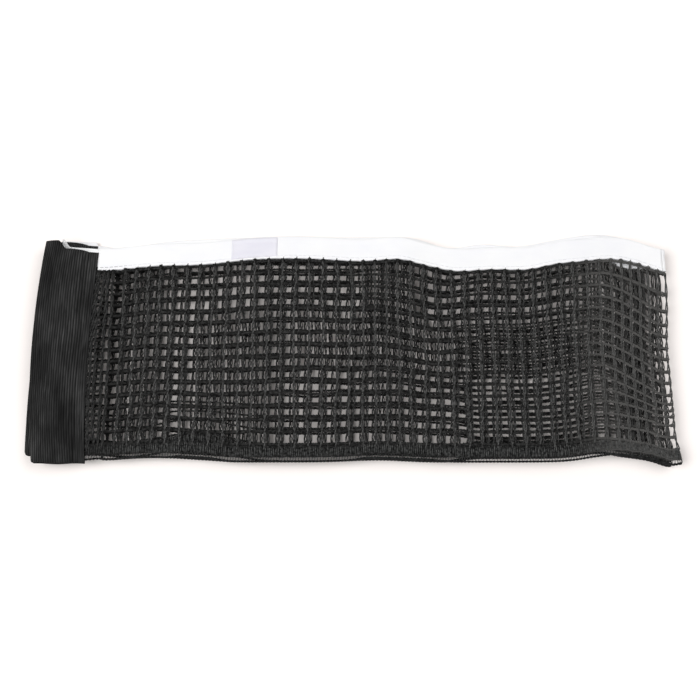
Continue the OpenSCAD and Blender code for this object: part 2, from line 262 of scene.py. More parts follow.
def tubes(parts, paths, side, radius, sides=6, material=0):
    """Closed tubes along paths, an array of (tube, point, xyz). side is a direction square to them all."""
    paths = np.asarray(paths, float)
    count, length, _ = paths.shape
    run = np.gradient(paths, axis=1)
    run /= np.linalg.norm(run, axis=2, keepdims=True)
    up = np.cross(run, np.asarray(side, float))
    up /= np.linalg.norm(up, axis=2, keepdims=True)
    across = np.cross(up, run)
    turn = 2 * np.pi * (np.arange(sides) + 0.5) / sides
    radius = np.broadcast_to(radius, (count, length))[..., None, None]
    ring = across[:, :, None] * np.cos(turn)[:, None] + up[:, :, None] * np.sin(turn)[:, None]
    points = paths[:, :, None] + radius * ring
    parts.add(points, closed_quads(length, sides, count), material)


def band(parts, points, flip=False, material=0):
    """A closed band of flat rings. Its ends are closed between the points j and n - 1 - j of a ring."""
    quads = closed_quads(*points.shape[:2])
    parts.add(points, quads[..., ::-1] if flip else quads, material)


def shell(parts, outer, inner, flip=False):
    """Two skins of the same grid, joined all round their rims."""
    rows, columns = outer.shape[:2]
    count = rows * columns
    skin = grid_quads(rows, columns)
    index = np.arange(count).reshape(rows, columns)
    border = np.concatenate([index[0, :-1], index[:-1, -1], index[-1, :0:-1], index[:0:-1, 0]])
    after = np.roll(border, -1)
    rim = np.stack([after, border, border + count, after + count], -1)
    quads = np.concatenate([skin, skin[:, ::-1] + count, rim])
    parts.add(np.stack([outer, inner]), quads[:, ::-1] if flip else quads)


def both_sides(places, heights):
    """A closed flat section, from the places and heights of its upper side."""
    return np.concatenate([places, places[::-1]]), np.concatenate([heights, -heights[::-1]])


def knots(parts, centres, size, sides=6, rings=4):
    """Small round lumps at centres, each with its own size (x, y, z)."""
    centres = np.asarray(centres, float).reshape(-1, 3)
    size = np.broadcast_to(size, (len(centres), 3))
    polar = np.linspace(0.12, np.pi - 0.12, rings)[:, None]
    turn = 2 * np.pi * np.arange(sides) / sides
    ball = xyz(np.sin(polar) * np.cos(turn), np.sin(polar) * np.sin(turn), np.cos(polar)).reshape(-1, 3)
    parts.add(centres[:, None] + ball * size[:, None], closed_quads(rings, sides, len(centres)))


class Wander:
    """Smooth random curves, one for each thread, that stay within about size."""

    def __init__(self, seed, count, size, lengths=(35, 60, 110, 190)):
        rng = np.random.default_rng(seed)
        self.size = rng.normal(0, size / math.sqrt(len(lengths)), (count, len(lengths)))
        self.phase = rng.uniform(0, 2 * np.pi, (count, len(lengths)))
        self.lengths = np.array(lengths, float)

    def __call__(self, s):
        """s is a (thread, point) array of places in millimetres."""
        turn = 2 * np.pi * s[..., None] / self.lengths + self.phase[:, None]
        return (self.size[:, None] * np.sin(turn)).sum(-1)


# ---------------------------------------------------------------- materials

def material(name, colour, roughness, sheen=0.0, sheen_roughness=0.4, specular=0.3):
    """A principled material and the sockets that its pattern is wired to."""
    made = bpy.data.materials.new(name)
    made.use_nodes = True
    shader = made.node_tree.nodes["Principled BSDF"]
    shader.inputs["Base Color"].default_value = (*colour, 1)
    shader.inputs["Roughness"].default_value = roughness
    shader.inputs["Sheen Weight"].default_value = sheen
    shader.inputs["Sheen Roughness"].default_value = sheen_roughness
    shader.inputs["Specular IOR Level"].default_value = specular
    return made, made.node_tree, shader


def node(tree, kind, inputs=(), **settings):
    made = tree.nodes.new(kind)
    for name, value in settings.items():
        setattr(made, name, value)
    for name, value in dict(inputs).items():
        if isinstance(value, bpy.types.NodeSocket):
            tree.links.new(value, made.inputs[name])
        else:
            made.inputs[name].default_value = value
    return made


def stretched(tree, scale):
    """Object coordinates in metres, scaled along each axis."""
    where = node(tree, "ShaderNodeTexCoord").outputs["Object"]
    return node(tree, "ShaderNodeMapping", {"Vector": where, "Scale": scale}).outputs["Vector"]


def noise(tree, scale, detail=3.0, roughness=0.6):
    made = node(tree, "ShaderNodeTexNoise", {"Vector": stretched(tree, scale), "Scale": 1.0,
                                             "Detail": detail, "Roughness": roughness})
    return made.outputs["Fac"]


def ramp(tree, factor, dark, light, low=0.3, high=0.7):
    """A colour that runs from dark to light with a pattern's value."""
    made = node(tree, "ShaderNodeValToRGB", {"Fac": factor})
    made.color_ramp.elements[0].position = low
    made.color_ramp.elements[0].color = (*dark, 1)
    made.color_ramp.elements[1].position = high
    made.color_ramp.elements[1].color = (*light, 1)
    return made.outputs["Color"]


def tinted(tree, shader, *pattern):
    tree.links.new(ramp(tree, *pattern), shader.inputs["Base Color"])


def bumped(tree, shader, height, distance, strength=0.6):
    made = node(tree, "ShaderNodeBump", {"Height": height, "Distance": distance, "Strength": strength})
    tree.links.new(made.outputs["Normal"], shader.inputs["Normal"])


# Painted shade: threads beside the sleeve are mixed part way towards this black
SLEEVE_SIDE_SHADE = (0.012, 0.012, 0.012)
# Painted highlight: threads towards the right fold are mixed towards this grey
FOLD_END_HIGHLIGHT = (0.085, 0.083, 0.08)


def faded(tree, colour, start, end, shares, other):
    """A colour with a share of another one, which changes along x between start and end, in mm."""
    where = node(tree, "ShaderNodeTexCoord").outputs["Object"]
    x = node(tree, "ShaderNodeSeparateXYZ", {"Vector": where}).outputs["X"]
    reach = {"Value": x, "From Min": (SEAM.x + start) * MM, "From Max": (SEAM.x + end) * MM,
             "To Min": shares[0], "To Max": shares[1]}
    factor = node(tree, "ShaderNodeMapRange", reach, interpolation_type="SMOOTHSTEP").outputs["Result"]
    mixed = node(tree, "ShaderNodeMix", {"Factor": factor}, data_type="RGBA")
    tree.links.new(colour, mixed.inputs[6])
    mixed.inputs[7].default_value = (*other, 1)
    return mixed.outputs[2]


def thread_material(name, dark, light, sheen=0.05, specular=0.12, highlight_share=0.0):
    """Fluffy thread, with painted shade beside the sleeve and a painted highlight where the net bends
    over.
    """
    made, tree, shader = material(name, light, 0.85, sheen=sheen, specular=specular)
    fibres = ramp(tree, noise(tree, (650, 650, 650), 4), dark, light, 0.36, 0.66)
    # Painted shade: beside the sleeve the thread's colour is mixed towards black
    gathered = faded(tree, fibres, 8, 28, (0.6, 0.0), SLEEVE_SIDE_SHADE)
    # Painted highlight: towards the right fold the colour is mixed towards grey, by the material's
    # highlight share
    fold_end_highlight = faded(tree, gathered, 300, 336, (0.0, highlight_share), FOLD_END_HIGHLIGHT)
    tree.links.new(fold_end_highlight, shader.inputs["Base Color"])
    bumped(tree, shader, noise(tree, (1800, 1800, 1800), 2), 0.00012, 0.7)
    return made


def tape_material():
    made, tree, shader = material("white_tape", (0.8, 0.8, 0.81), 0.85, sheen=0.1)
    tinted(tree, shader, noise(tree, (30, 60, 60), 3), (0.83, 0.83, 0.855), (0.87, 0.87, 0.87))
    across = node(tree, "ShaderNodeTexWave", {"Vector": stretched(tree, (1700, 0, 0)), "Scale": 1.0},
                  bands_direction="X").outputs["Fac"]
    along = node(tree, "ShaderNodeTexWave", {"Vector": stretched(tree, (0, 2100, 0)), "Scale": 1.0},
                 bands_direction="Y").outputs["Fac"]
    weave = node(tree, "ShaderNodeMath", {0: across, 1: along}, operation="ADD").outputs[0]
    bumped(tree, shader, weave, 0.00006, 0.5)
    return made


def sleeve_material():
    """Ribbed cloth with a painted highlight in random patches on each rib's crown and painted shade in the
    grooves. sleeve() writes the ribs' heights.
    """
    made, tree, shader = material("ribbed_black", (0.03, 0.03, 0.031), 0.8, sheen=0.05, specular=0.1)

    def maths(operation, a, b=0.0, c=0.0):
        return node(tree, "ShaderNodeMath", {0: a, 1: b, 2: c}, operation=operation).outputs[0]

    # Painted highlight on each rib's crown and painted shade in the grooves, broken up by random patches
    # and streaks
    rib = node(tree, "ShaderNodeAttribute", attribute_name="rib").outputs["Fac"]
    streaks = maths("MULTIPLY_ADD", noise(tree, (700, 75, 200), 3), 2.4, -0.3)
    highlight_patches = maths("MULTIPLY_ADD", noise(tree, (40, 21, 30), 3), 2.0, -0.52)
    light = maths("MULTIPLY", maths("MULTIPLY", rib, maths("MAXIMUM", highlight_patches, 0.25)), streaks)
    tinted(tree, shader, light, (0.003, 0.003, 0.003), (0.062, 0.062, 0.062), 0.05, 1.15)
    bumped(tree, shader, noise(tree, (2600, 1500, 2600), 2), 0.0001, 0.6)
    return made


def label_material():
    made, tree, shader = material("satin_label", (0.76, 0.74, 0.8), 0.42, sheen=0.1, specular=0.4)
    tinted(tree, shader, noise(tree, (40, 90, 90), 2), (0.68, 0.67, 0.74), (0.74, 0.73, 0.78))
    lines = node(tree, "ShaderNodeTexWave", {"Vector": stretched(tree, (0, 4200, 0)), "Scale": 1.0},
                 bands_direction="Y").outputs["Fac"]
    bumped(tree, shader, lines, 0.00004, 0.4)
    return made


# Rows and columns are one thread: the rows' darker colour is painted shade, as they lie beneath the
# columns' loops
ROW_BLACK = thread_material("row_thread_painted_shade", (0.002, 0.002, 0.002), (0.04, 0.04, 0.039),
                            sheen=0.03, specular=0.06, highlight_share=0.9)
COLUMN_BLACK = thread_material("column_thread", (0.008, 0.008, 0.008), (0.1, 0.1, 0.098),
                               sheen=0.1, specular=0.1, highlight_share=0.35)
HEM_BLACK = thread_material("hem_thread", (0.006, 0.006, 0.006), (0.11, 0.112, 0.11), sheen=0.08)
CORD_BLACK = thread_material("cord_thread", (0.003, 0.003, 0.003), (0.03, 0.031, 0.031),
                             sheen=0.03, specular=0.08)
CORD_WHITE = thread_material("white_cord", (0.6, 0.6, 0.58), (0.78, 0.78, 0.76))
STITCH_WHITE = thread_material("white_stitch", (0.7, 0.7, 0.73), (0.8, 0.8, 0.82))
TAPE_WHITE = tape_material()
SLEEVE_BLACK = sleeve_material()
LABEL_SATIN = label_material()


# ---------------------------------------------------------------- the knitted mesh

def column_pitch(x):
    """Space between two columns: closer beside the sleeve, at the ridge and towards the right fold."""
    return (COLUMN_PITCH - CLOSER_AT_SLEEVE * window(x, -20, 50, 20)
            - CLOSER_AT_RIDGE * window(x, 178, 206, 20) - CLOSER_AT_FOLD * smooth((x - 326) / 24))


def column_line():
    """Places of the columns, worked out from the upper right fold towards the left fold."""
    places = [UPPER_FOLD_X - EDGE_GAP]
    while places[-1] - column_pitch(places[-1]) > LEFT_FOLD_X - 2:
        places.append(places[-1] - column_pitch(places[-1]))
    places = np.array(places[::-1])
    share = (places - places[0]) / (places[-1] - places[0])
    return places + (LEFT_FOLD_X - 0.5 - places[0]) * (1 - share)


COLUMNS = column_line()


def column_places(k):
    start, end = panel_span(k)
    places = COLUMNS[(COLUMNS > start + 1.2) & (COLUMNS < end - 1.2)]
    return np.concatenate([SEAM_COLUMNS.get(k, ()), places])


def seam_bow(share):
    """The seams bow a little to the left."""
    return -SEAM_BOW * 4 * share * (1 - share)


def beside_seam(places):
    """1 for the columns that follow the seam's bow, and 0 farther in."""
    return 1 - smooth((places - 2) / 8)


# How far layers 2, 3 and 4 lie out of line with the top one, along x and along y, in each part of the net
OUT_OF_LINE = {
    "everywhere": ((2.2, -1.9, 0.5), (1.7, -1.6, 0.4)),
    "beside the sleeve": ((1.4, -1.7, 2.9), (0.5, -0.6, 1.2)),
    "open": ((2.2, -1.8, 0.4), (1.1, -1.0, 0.3)),
    "open low": ((2.1, -1.9, 4.2), (0.8, -0.9, 0.2)),
    "half height": ((2.3, -2.2, 4.4), (1.1, -0.9, 0.3)),
    "ridge": ((2.4, -2.3, 4.2), (1.5, -1.3, 2.7)),
    "low right": ((2.2, -1.8, 0.4), (0.9, -4.3, -3.4)),
    "mid right": ((2.3, -2.1, 4.2), (2.0, -2.0, -4.1)),
    "high right": ((2.5, -2.2, 0.6), (2.1, -2.0, 0.5)),
    "right end": ((2.2, -3.9, -1.9), (2.0, -4.1, -2.1)),
    "low right end": ((1.4, -1.4, 0.4), (1.9, -4.1, -2.0))}

# The photograph's eye stands here over the net, so its lines of sight to the lower layers lean
EYE_X, EYE_Y, EYE_HEIGHT = 165.5, -165.0, 605.0


def lean(k, x, y):
    """How far a thread of layer k moves to lie in line with one of the top layer, along x and along y."""
    depth = LAYER_PITCH * (k - 1) / EYE_HEIGHT
    return (x - EYE_X) * depth, (y - EYE_Y) * depth


def at_fold(k, x):
    """1 at layer k's ends, where its threads run on round a fold into those of the next layer."""
    if k == 1:
        return 0 * x
    right = smooth((x - {2: 359, 3: 355, 4: 355}[k]) / 10)
    return right if k == 4 else np.maximum(right, smooth((26 - x) / 12))


def drift(k, x, share):
    """How far layer k's threads lie from the top one's, along x and along y.

    share is the place across the knit, from 0 at the hem to 1 at the tape.
    """
    half_height = window(share, 0.4, 0.7, 0.16)
    low = 1 - smooth((share - 0.36) / 0.14)
    right = window(x, 238, 420, 24)
    opened = window(x, 60, 112, 28)
    right_end = smooth((x - 306) / 24)
    reach = {"everywhere": 1, "beside the sleeve": window(x, -40, 46, 30), "open": opened,
             "open low": opened * (1 - smooth((share - 0.6) / 0.2)),
             "half height": half_height * window(x, 124, 240, 22),
             "ridge": window(x, 174, 206, 18) * smooth((share - 0.45) / 0.2),
             "high right": right, "low right": right * low, "mid right": right * half_height,
             "right end": right_end, "low right end": right_end * low * (1 - smooth((x - 338) / 14))}
    along, across = 0 * (share + x), 0 * (share + x)
    if k > 1:
        for part, amount in reach.items():
            along = along + amount * (OUT_OF_LINE[part][0][k - 2] - along)
            across = across + amount * (OUT_OF_LINE[part][1][k - 2] - across)
    lean_x, lean_y = lean(k, x, -NET_HEIGHT / 2 + KNIT_FOOT + KNIT_SPAN * share)
    free = 1 - at_fold(k, x)
    droop = -12.0 * smooth((x - 324) / 46) * window(share, 0.26, 0.95, 0.3)
    dip = -2.8 * window(x, 190, 228, 24) * window(share, 0.4, 0.98, 0.3)
    return along + lean_x * free, (across + lean_y) * free + droop + dip


def knit_point(k, x, share, up):
    """A point of layer k's knit: x and the share across it, with up for the height over its middle."""
    along, across = drift(k, x, share)
    low, high = knit_low(x, 1), knit_high(x, 1)
    at_hem = (knit_low(x, k) - low) * (1 - smooth(share / 0.3))
    at_tape = (knit_high(x, k) - high) * smooth(share / 0.3 - 2.3)
    across = across * smooth(share / 0.06) * smooth((1 - share) / 0.08)
    y = low + share * (high - low) + (at_hem + at_tape) + across
    return xyz(x, y, panel_z(k) + lift(x, y) + up)


# Steps in mm along a column and along a row, and a thread's sides: the layer on top is the finest
DETAIL = {1: (1.7, 1.4, 6), 2: (2.4, 1.9, 4), 3: (2.4, 1.9, 4), 4: (2.0, 1.6, 4)}


def knit_columns(k):
    """Each column is two threads that twist round the rows, in turn over and under each, with an inlay."""
    start, end = panel_span(k)
    # Threads may reach under a sleeve, but at a fold they stop short of it
    first, last = start - 2.4 + (2.8 if k in (2, 3) else 0), end - 0.4
    step, _, sides = DETAIL[k]
    parts = Parts()
    places = column_places(k)[:, None]
    share = np.linspace(-0.02, 1.02, int((NET_HEIGHT - TAPE_WIDTH - HEM_HEIGHT) / step) + 1)
    share = np.broadcast_to(share, (len(places), len(share)))
    sway = Wander(10 + k, len(places), 0.55)(share * KNIT_SPAN)
    base = places + sway + drift(k, places, share)[0] + beside_seam(places) * seam_bow(share)
    twist = np.pi * ROWS * share
    spread = COLUMN_SPREAD + Wander(20 + k, len(places), 0.1)(share * KNIT_SPAN)
    for turn in (0, np.pi):
        x = np.clip(base + spread * np.sin(twist + turn), first, last)
        up = 0.5 * np.cos(twist + turn) + 0.15
        tubes(parts, knit_point(k, x, share, up), (1, 0, 0), COLUMN_RADIUS, sides)
    x = np.clip(base + 0.3 * np.sin(2 * twist + 1.2), first, last)
    tubes(parts, knit_point(k, x, share, -0.2), (1, 0, 0), COLUMN_RADIUS * 0.9, sides)
    return parts.piece(f"knit_columns_{k}", [COLUMN_BLACK], BODY[k], slot="mesh")


def row_shares(k, x):
    """Where each row lies across the knit at x. It wanders a little between the hem and the tape."""
    count = ROWS + 1
    shares = np.arange(count)[:, None] / ROWS
    sway = Wander(30, count, 0.3)(np.broadcast_to(x, (count, len(x))))
    own = Wander(40 + k, count, 0.4)(np.broadcast_to(x, (count, len(x))))
    start, end = panel_span(k)
    free = window(x, start + 20, end - 20, 30)
    held = np.sin(np.pi * np.clip(shares, 0, 1)) ** 0.4
    return shares + (sway + own * free) / KNIT_SPAN * held


def braids(parts, k, x, share, phase, radius, sides=6):
    """Flat braids of three strands, which run along x at shares across the knit."""
    for turn in STRANDS:
        twist = 2 * np.pi * x / ROW_BRAID + phase + turn
        at = share + ROW_SPREAD * np.sin(twist) / KNIT_SPAN
        points = knit_point(k, np.broadcast_to(x, share.shape), at, 0.3 * np.sin(2 * twist) - 0.1)
        tubes(parts, points, (0, 1, 0), radius, sides)


def knit_rows(parts, k):
    start, end = panel_span(k)
    _, step, sides = DETAIL[k]
    first = start - (SEAM_LAP if k in (1, 4) else 0)
    x = np.linspace(first, end, int((end - first) / step) + 1)
    braids(parts, k, x, row_shares(k, x), np.arange(ROWS + 1)[:, None], ROW_RADIUS, sides)
    if k == 1:
        turned_back(parts, first)


def turned_back(parts, first):
    """The net's end is turned back under the sleeve's flange, so that its rows are double there."""
    x = np.linspace(first, TURNED_BACK, 12)
    share = (np.arange(ROWS) + 0.5)[:, None] / ROWS
    share = share + Wander(90, ROWS, 0.5)(np.broadcast_to(x, (ROWS, len(x)))) / KNIT_SPAN
    braids(parts, 1, x, share, 0, ROW_RADIUS * 1.1)


def knit_knots(parts, k):
    """A knot where each column crosses each row, and a bigger one over the tape's lower edge."""
    start, end = panel_span(k)
    places = column_places(k)
    share = row_shares(k, places)
    x = places + drift(k, places[None], share)[0] + beside_seam(places) * seam_bow(share)
    points = knit_point(k, np.clip(x, start - 2, end - 1), share, 0.05)
    rng = np.random.default_rng(50 + k)
    size = np.array(KNOT_SIZE) * rng.uniform(0.75, 1.2, (points[..., 0].size, 1))
    knots(parts, points, size)
    top = points[-1].copy()
    top[:, 1] += rng.uniform(0.2, 1.0, len(top))
    top[:, 2] += TAPE_HALF - 0.2
    knots(parts, top, TAPE_KNOT_SIZE)


def knit_panel(k):
    """The rows and knots of one panel. Its columns are a piece of their own."""
    parts = Parts()
    knit_rows(parts, k)
    knit_knots(parts, k)
    return parts.piece(f"knit_panel_{k}", [ROW_BLACK], BODY[k], f"mesh_panel_{k}", "mesh")


# ---------------------------------------------------------------- folds

FOLD_STEPS = 14


class Fold:
    """One fold line: upper is the panel above it, and turn is 1 at the right and -1 at the left."""

    def __init__(self, name, x, upper, turn):
        self.name, self.x, self.upper, self.turn = name, x, upper, turn
        self.z = (panel_z(upper) + panel_z(upper + 1)) / 2

    def path(self, up):
        """Points in x and z from the upper panel's end round to the lower one's, up over its middle."""
        angle = np.pi / 2 - np.pi * np.arange(FOLD_STEPS + 1) / FOLD_STEPS
        radius = LAYER_PITCH / 2 + up
        x = self.x + self.turn * radius * np.cos(angle)
        z = self.z + radius * np.sin(angle)
        ends = self.x - self.turn * FOLD_CLEARANCE
        return np.concatenate([[ends], x, [ends]]), np.concatenate([[z[0]], z, [z[-1]]])

    def rings(self, heights):
        """The same for each of a section's heights, as arrays of (step, height)."""
        return np.array([self.path(up) for up in heights]).transpose(1, 2, 0)

    def blend(self, piece, slot, solid):
        """Hides the fold's solid and bakes the piece's place into its mesh."""
        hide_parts(solid)
        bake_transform(piece)
        return piece


FOLDS = (Fold("upper_right", UPPER_FOLD_X, 1, 1), Fold("left", LEFT_FOLD_X, 2, -1),
         Fold("lower_right", LOWER_FOLD_X, 3, 1))


def fold_rows(fold):
    """The knit's rows round a fold, with one column along its edge."""
    parts = Parts()
    k = fold.upper
    end = fold.x - fold.turn * FOLD_CLEARANCE
    share = row_shares(k, np.array([end]))
    y = knit_point(k, np.full_like(share, end), share, 0)[:, 0, 1]
    x, z = fold.path(-0.1)
    for side in (-ROW_SPREAD, 0, ROW_SPREAD):
        tubes(parts, xyz(x, y[:, None] + side, z), (0, 1, 0), ROW_RADIUS)
    outer = fold.x + fold.turn * (LAYER_PITCH / 2 + 0.35)
    at = np.linspace(0, 1, 90)
    edge_y = np.interp(at, np.arange(ROWS + 1) / ROWS, y)
    sway = Wander(60 + k, 1, 0.25)(at[None] * KNIT_SPAN)[0]
    for turn in (0, np.pi):
        twist = np.pi * ROWS * at + turn
        edge_x = outer + fold.turn * (sway - 0.25 + 0.5 * np.cos(twist))
        path = xyz(edge_x, edge_y, fold.z + COLUMN_SPREAD * np.sin(twist))
        tubes(parts, path[None], (1, 0, 0), COLUMN_RADIUS, material=1)
    knots(parts, xyz(outer - 0.1 * fold.turn, y, fold.z), FOLD_KNOT_SIZE)
    piece = parts.piece(f"knit_fold_{fold.name}", [ROW_BLACK, COLUMN_BLACK])
    return fold.blend(piece, "mesh", f"mesh_fold_{fold.name}")


# ---------------------------------------------------------------- the tape

STITCH_DEPTH = 13.4
STITCH_PITCH = 3.1
STITCH_LENGTH = 2.2
STITCH_RADIUS = 0.17
TAPE_DEPTHS = np.array([0, 0.08, 0.3, 0.65, 1.15, 1.9, 2.6, 3.4, 5, 7, 9, 11, 12.4, 13, 13.4, 13.8, 14.6,
                        15.2, 15.45])


def tape_thickness(depth):
    """Half the folded tape's thickness at a depth under its top edge: round over the cord, then flat."""
    round_top = TAPE_HALF * np.sqrt(1 - (1 - np.clip(depth / TAPE_HALF, 0, 1)) ** 2)
    flat = TAPE_HALF - 0.3 * smooth((depth - 2.2) / 2)
    stitch = 0.16 * np.exp(-((depth - STITCH_DEPTH) / 0.5) ** 2)
    return np.where(depth < TAPE_HALF, round_top, flat) - stitch


def tape_section():
    """Depths and heights of a closed section, folded over the top edge and open at the bottom."""
    outer = tape_thickness(TAPE_DEPTHS)
    inner = np.clip(outer - TAPE_CLOTH, 0.05, None)
    inner_depth = np.clip(TAPE_DEPTHS, TAPE_CLOTH, None)
    depth = np.concatenate([TAPE_DEPTHS[::-1], TAPE_DEPTHS[1:], inner_depth[::-1], inner_depth[1:]])
    height = np.concatenate([outer[::-1], -outer[1:], -inner[::-1], inner[1:]])
    return depth, height


def pucker(x, depth, k):
    """Small swells of the tape's cloth, with a short ripple along its stitched lower edge."""
    soft = 0.14 * np.sin(x / 7.3 + k) * np.sin(depth / 5.1 + 0.4 * k) + 0.1 * np.sin(x / 17.0 + 2.1 * k)
    return soft + 0.09 * np.sin(x / 1.4) * smooth((depth - 11) / 4)


def tape_point(k, x, depth, up, ripple=0.0):
    """A point of layer k's tape at a depth under its edge. It swells less towards the folds."""
    start, end = panel_span(k)
    free = window(x, start + 8, end - 8, 14)
    y = tape_rows(x, k) - depth + ripple
    return xyz(x, y, panel_z(k) + lift(x, y) + free * pucker(x, depth, k) + up)


def tape_panel(k):
    start, end = panel_span(k)
    x = np.linspace(start, end, int((end - start) / 1.5) + 1)[:, None]
    depth, height = tape_section()
    ripple = 0.12 * np.sin(x / 1.4) * smooth((depth - 13) / 2.4)
    parts = Parts()
    band(parts, tape_point(k, x, depth, height, ripple))
    return parts.piece(f"tape_{k}", [TAPE_WHITE], BODY[k], f"tape_panel_{k}", "tape")


def tape_fold(fold):
    depth, height = tape_section()
    top = tape_rows(fold.x, fold.upper)
    x, z = fold.rings(height)
    parts = Parts()
    band(parts, xyz(x, top - depth, z), flip=fold.turn < 0)
    piece = parts.piece(f"tape_fold_{fold.name}", [TAPE_WHITE])
    return fold.blend(piece, "tape", f"tape_fold_{fold.name}")


def tape_stitches(k):
    """The seam that holds the tape to the knit, a row of short stitches on both sides."""
    start, end = panel_span(k)
    at = np.arange(start + 1.5, end - 2.5, STITCH_PITCH)
    share = np.linspace(0, 1, 5)
    x = at[:, None] + STITCH_LENGTH * share
    rise = tape_thickness(STITCH_DEPTH) + 0.02 + 0.16 * np.sin(np.pi * share)
    parts = Parts()
    for side in (1, -1):
        tubes(parts, tape_point(k, x, STITCH_DEPTH, side * rise), (0, 1, 0), STITCH_RADIUS, 4)
    return parts.piece(f"tape_stitches_{k}", [STITCH_WHITE], BODY[k], slot="tape")


# ---------------------------------------------------------------- hem and cords

HEM_GROUND = 3.6
HEM_THREAD_PITCH = 1.3
HEM_THREAD_RADIUS = 0.3
HEM_LINE_RADIUS = 0.33
LADDER_PITCH = 1.7
LADDER_RADIUS = 0.2
EDGE_CORD_LAY = 4.5
TENSION_CORD_LAY = 5.0
FLAT_HALF = np.array([0.6, 1, 1, 0.6])


def hem_rows(x, k):
    """The hem's edge. In places the layers' ladders lie in line, as seen from above."""
    in_line = window(x, 12, 55, 12) + window(x, 84, 170, 16) + window(x, 222, 330, 20)
    drawn_up = {1: 0, 2: 2.2, 3: 3.2, 4: 3.8}[k] * window(x, 236, 326, 24)
    return hem_line(x, k) + in_line * 0.41 * (k - 4) - 0.6 * window(x, 84, 340, 20) + drawn_up


def hem_point(k, x, above, up):
    """A point of layer k's hem: its way above the edge, with up for the height over its middle."""
    y = hem_rows(x, k) + above
    return xyz(x, y, panel_z(k) + lift(x, y) + up)


def hem_threads(parts, k, low, high):
    """Fine upright threads on both sides of the hem."""
    start, end = panel_span(k)
    rng = np.random.default_rng(70 + k)
    at = np.arange(start + 0.6, end - 0.4, HEM_THREAD_PITCH)
    at = at + rng.uniform(-0.3, 0.3, len(at))
    share = np.linspace(0, 1, 6)
    for side in (1, -1):
        tilt = rng.uniform(-0.6, 0.6, (len(at), 1))
        bottom = low - 0.1 + rng.uniform(-0.3, 0.5, (len(at), 1))
        top = high + rng.uniform(-0.6, 1.6, (len(at), 1))
        x = np.clip(at[:, None] + tilt * (share - 0.5) + 0.4 * side, start + 0.3, end - 0.3)
        up = side * (0.22 + 0.4 * np.sin(np.pi * share))
        points = hem_point(k, x, bottom + (top - bottom) * share, up)
        tubes(parts, points, (1, 0, 0), HEM_THREAD_RADIUS, 4)


def ladder(parts, k):
    """Short threads between the hem and its cord, in line with each other from layer to layer."""
    start, end = panel_span(k)
    at = np.arange(0.8, UPPER_FOLD_X, LADDER_PITCH)
    at = at + lean(k, at, -NET_HEIGHT / 2)[0]
    at = at[(at > start + 0.6) & (at < end - 0.6)][:, None]
    share = np.linspace(0, 1, 4)
    points = hem_point(k, at + 0.3 * (share - 0.5), 1.1 + (HEM_GROUND - 1.0) * share,
                       0.3 * np.sin(np.pi * share))
    tubes(parts, points, (1, 0, 0), LADDER_RADIUS, 4)


def hem_panel(k):
    """A thin dense cloth, threads on it, a ladder to the edge cord, and lines along its borders."""
    start, end = panel_span(k)
    parts = Parts()
    x = np.linspace(start, end, int((end - start) / 3) + 1)[:, None]
    low, high = HEM_GROUND, HEM_BASE + HEM_HEIGHT - 1.0
    above, height = both_sides(np.linspace(low, high, 4), 0.2 * FLAT_HALF)
    band(parts, hem_point(k, x, above, height), material=1)
    hem_threads(parts, k, low, high)
    ladder(parts, k)
    x = np.linspace(start, end, int((end - start) / 1.6) + 1)[None]
    for above, up in ((high + 0.6, 0.3), (high + 0.8, -0.4), (low, 0.3)):
        points = hem_point(k, x, above + 0.2 * np.sin(x / 1.1 + up), up)
        tubes(parts, points, (0, 1, 0), HEM_LINE_RADIUS, material=1)
    return parts.piece(f"hem_{k}", [HEM_BLACK, ROW_BLACK], BODY[k], f"hem_panel_{k}", "hem")


def hem_fold(fold):
    parts = Parts()
    low = hem_rows(fold.x, fold.upper)
    above, height = both_sides(np.linspace(3.0, HEM_BASE + HEM_HEIGHT - 0.2, 4), 0.32 * FLAT_HALF)
    x, z = fold.rings(height)
    band(parts, xyz(x, low + above, z), flip=fold.turn < 0)
    share = np.linspace(0, 1, 5)
    x, z = fold.path(0.55)
    bend = np.interp(np.linspace(0.08, 0.92, 6), np.linspace(0, 1, len(x)), np.arange(len(x)))
    index = bend.round().astype(int)
    y = low + 1.3 + (HEM_BASE + HEM_HEIGHT - 1.3) * share
    tubes(parts, xyz(x[index][:, None], y, z[index][:, None]), (1, 0.01, 0), 0.27, 4)
    piece = parts.piece(f"hem_fold_{fold.name}", [HEM_BLACK])
    return fold.blend(piece, "hem", f"hem_fold_{fold.name}")


def twisted(parts, point_at, length, radius, lay, sides=6):
    """Two strands round a line. point_at gives its points at places from 0 to 1, moved by (y, z)."""
    steps = max(int(length / 0.9), 10)
    s = np.linspace(0, 1, steps + 1)
    for turn in (0, np.pi):
        twist = 2 * np.pi * s * length / lay + turn
        points = point_at(s, radius * 0.48 * np.sin(twist), radius * 0.48 * np.cos(twist))
        tubes(parts, points[None], (0, 1, 0), radius * 0.52, sides)


def edge_cord_line(x, k):
    return hem_rows(x, k) + EDGE_CORD_RADIUS


def tension_cord_line(x, k):
    return tape_rows(x, k) - TENSION_CORD_DEPTH


def cord(k, kind, line, radius, lay, sides, finish):
    """One panel's length of a cord."""
    start, end = panel_span(k)

    def point_at(s, dy, dz):
        x = start + s * (end - start)
        y = line(x, k)
        return xyz(x, y + dy, panel_z(k) + lift(x, y) + dz)

    parts = Parts()
    twisted(parts, point_at, end - start, radius, lay, sides)
    return parts.piece(f"{kind}_{k}", [finish], BODY[k], f"{kind}_{k}", kind)


